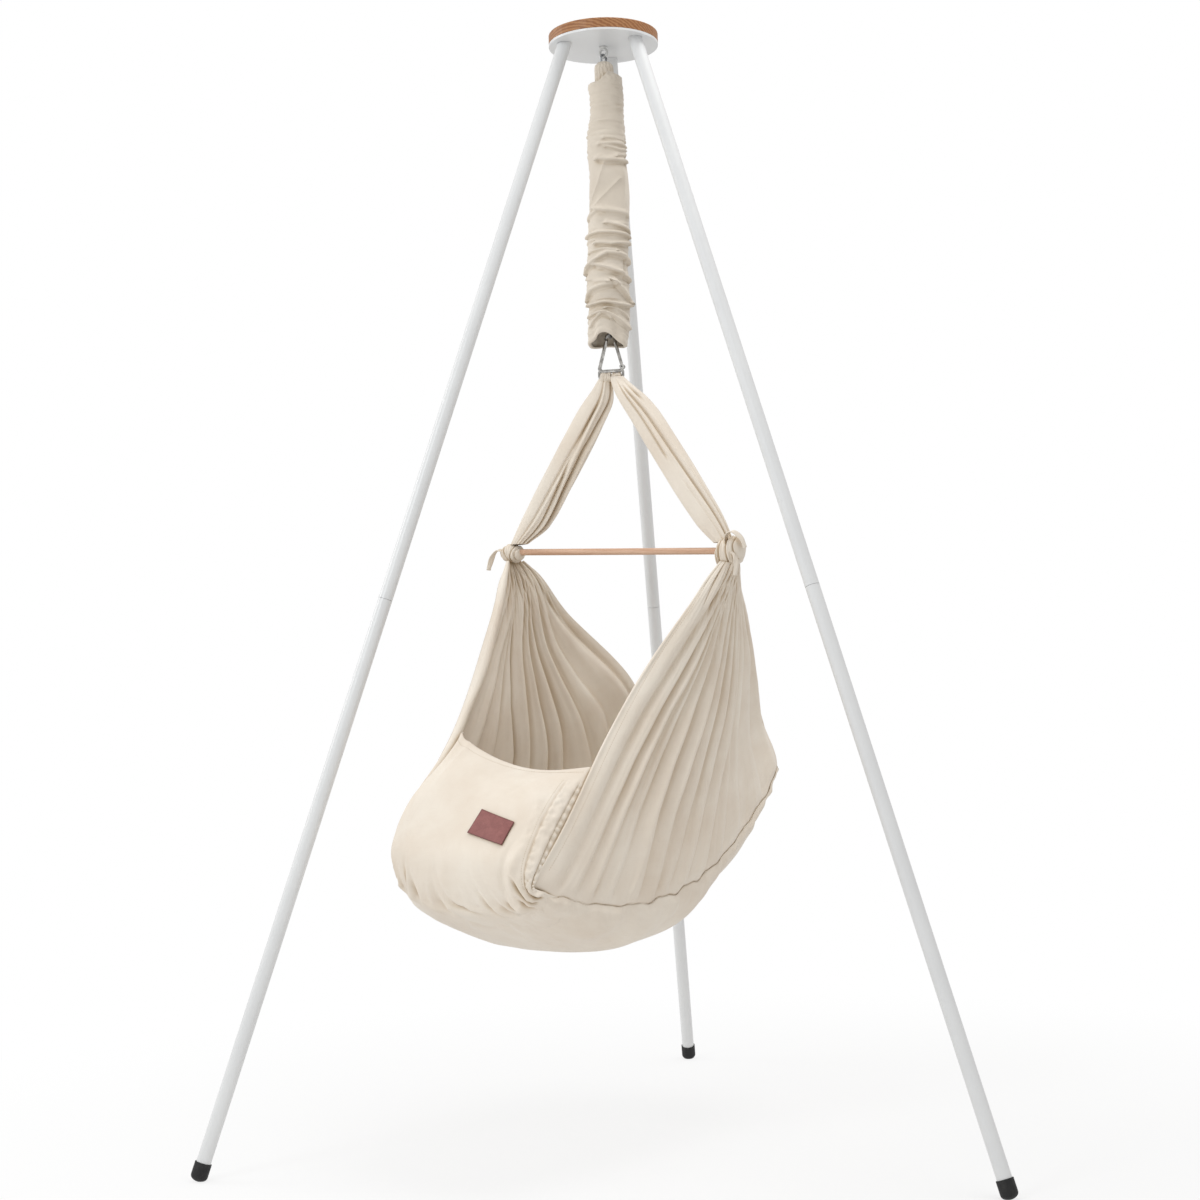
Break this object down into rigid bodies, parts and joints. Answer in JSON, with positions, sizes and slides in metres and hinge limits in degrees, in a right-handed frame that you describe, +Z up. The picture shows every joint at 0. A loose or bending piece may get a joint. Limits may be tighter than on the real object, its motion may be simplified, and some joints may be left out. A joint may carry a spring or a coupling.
{
  "type": "baby spring cradle",
  "caption": "Cotton baby cradle with a padded base, hung by straps, a spreader bar, a snap hook and a sleeved coil spring from a white tubular tripod stand with a wooden top.",
  "frame": {"origin": "the middle of the box round the feet, on the floor", "axes": "+Z up, +X along the spreader bar towards the right-hand leg, -Y towards the front end of the cradle, where the label is"},
  "size_m": [1.1772, 1.3548, 2.0073],
  "materials": {
    "white_steel": "satin",
    "zinc": "satin",
    "bare_steel": "satin",
    "dark_steel": "satin",
    "polished_steel": "polished",
    "brass": "satin",
    "black_rubber": "matte",
    "oiled_wood": "satin",
    "beech": "matte",
    "cream_cotton": "matte",
    "quilted_cotton": "matte",
    "red_leather": "matte"
  },
  "bodies": {
    "stand": {"wood_disc": "oiled_wood", "top_plate": "white_steel", "eye_bolt": "zinc", "eye_bolt_washer": "zinc", "eye_bolt_nut": "zinc", "upper_leg_right": "white_steel", "lower_leg_right": "white_steel", "leg_coupler_right": "bare_steel", "foot_cap_right": "black_rubber", "upper_leg_front": "white_steel", "lower_leg_front": "white_steel", "leg_coupler_front": "bare_steel", "foot_cap_front": "black_rubber", "upper_leg_rear": "white_steel", "lower_leg_rear": "white_steel", "leg_coupler_rear": "bare_steel", "foot_cap_rear": "black_rubber"},
    "hanger": {"hanger_link": "dark_steel"},
    "spring": {"spring_top_eye": "bare_steel", "spring_coil": "bare_steel", "spring_sleeve": "cream_cotton"},
    "bounce": {"swivel_bush": "brass"},
    "cradle": {"swivel_rod": "bare_steel", "carabiner_body": "polished_steel", "gate_pin": "dark_steel", "strap_left": "cream_cotton", "strap_right": "cream_cotton", "tie_knot_left": "cream_cotton", "tie_knot_right": "cream_cotton", "spreader_bar": "beech", "wall_left": "cream_cotton", "wall_right": "cream_cotton", "front_panel": "cream_cotton", "rear_panel": "cream_cotton", "base_pouch": "cream_cotton", "mattress": "quilted_cotton", "label_patch": "red_leather"},
    "gate": {"carabiner_gate": "polished_steel"}
  },
  "joints": [
    {"name": "swing_fore", "type": "hinge", "parent": "stand", "child": "hanger", "pos_m": [-0.19137, 0, 1.9657], "axis": [1, 0, 0], "range_deg": [-2.7, 2.7]},
    {"name": "swing_side", "type": "hinge", "parent": "hanger", "child": "spring", "pos_m": [-0.19137, 0, 1.9465], "axis": [0, 1, 0], "range_deg": [-2.7, 2.7]},
    {"name": "bounce_slide", "type": "slide", "parent": "spring", "child": "bounce", "axis": [0, 0, 1], "range_m": [-0.15, 0.028], "stiffness_N_per_m": 823, "springref_m": 0.0305, "deforming": ["spring_coil", "spring_sleeve"]},
    {"name": "cradle_turn", "type": "hinge", "parent": "bounce", "child": "cradle", "pos_m": [-0.19137, 0, 1.76], "axis": [0, 0, 1], "range_deg": [-10, 10]},
    {"name": "gate_hinge", "type": "hinge", "parent": "cradle", "child": "gate", "pos_m": [-0.17188, 0.00909, 1.3915], "axis": [-0.4226, 0.9063, 0], "range_deg": [-15, 0], "stiffness_Nm_per_rad": 0.15, "springref_deg": 20.05}
  ]
}
